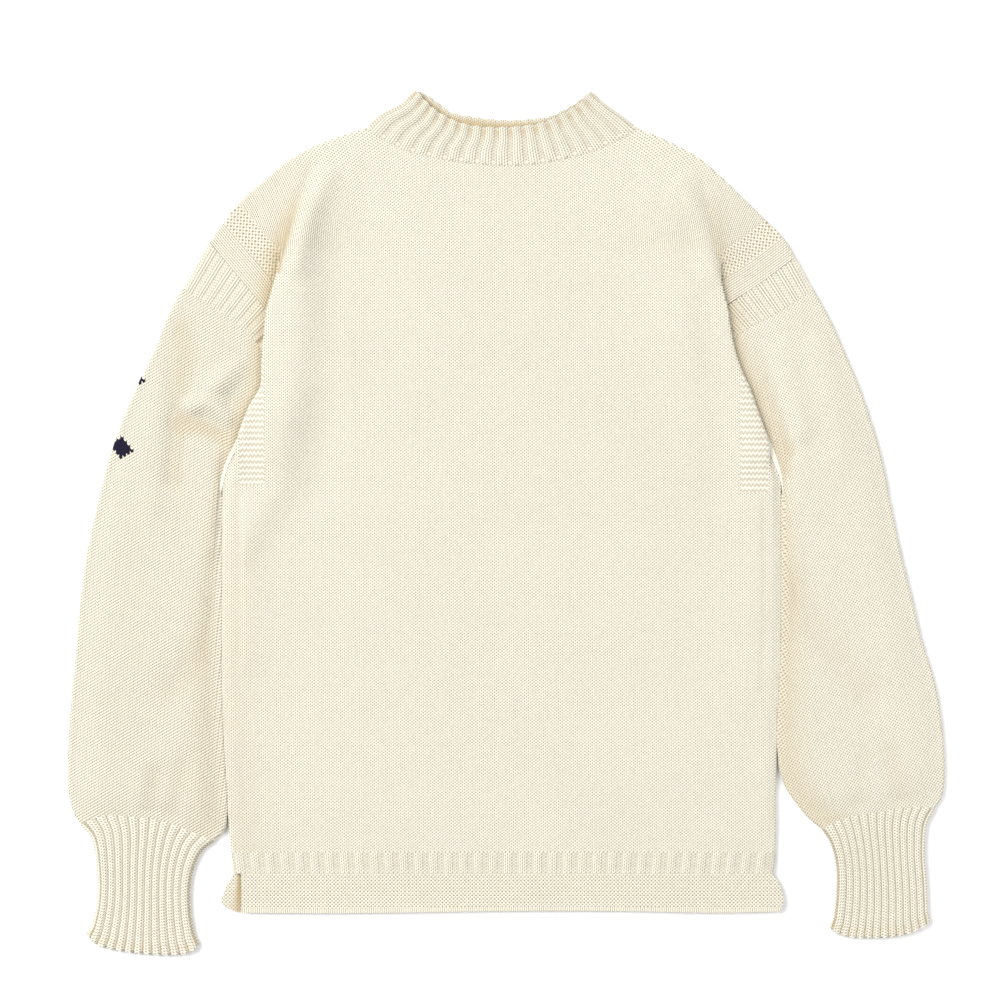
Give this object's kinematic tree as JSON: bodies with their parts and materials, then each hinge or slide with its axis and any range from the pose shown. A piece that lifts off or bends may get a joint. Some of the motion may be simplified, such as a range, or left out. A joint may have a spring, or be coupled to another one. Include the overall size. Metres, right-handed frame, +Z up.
{
  "type": "fisherman sweater",
  "caption": "Guernsey style knitted sweater laid flat: split hem, ribbed stand collar and cuffs, drop shoulders folded over at the armholes.",
  "frame": {"origin": "on the surface it lies on, under the middle of the garment's outline", "axes": "+Z up out of the surface, +Y from the hem to the collar, +X towards the right of the garment as seen from above"},
  "size_m": [0.7893, 0.7779, 0.0118],
  "materials": {
    "plain_knit": "natural cream wool, plain knit with moss stitch panels",
    "rib_knit": "natural cream wool, ribbed knit",
    "welt_knit": "natural cream wool, garter stitch"
  },
  "bodies": {
    "root": {"front": "plain_knit", "back": "plain_knit", "sleeve_left": "plain_knit", "sleeve_right": "plain_knit", "sleeve_head_rib_left": "rib_knit", "sleeve_head_rib_right": "rib_knit", "cuff_left": "rib_knit", "cuff_right": "rib_knit", "collar": "rib_knit", "front_rib_band": "rib_knit", "back_rib_band": "rib_knit", "front_welt": "welt_knit", "back_welt": "welt_knit"}
  },
  "joints": []
}
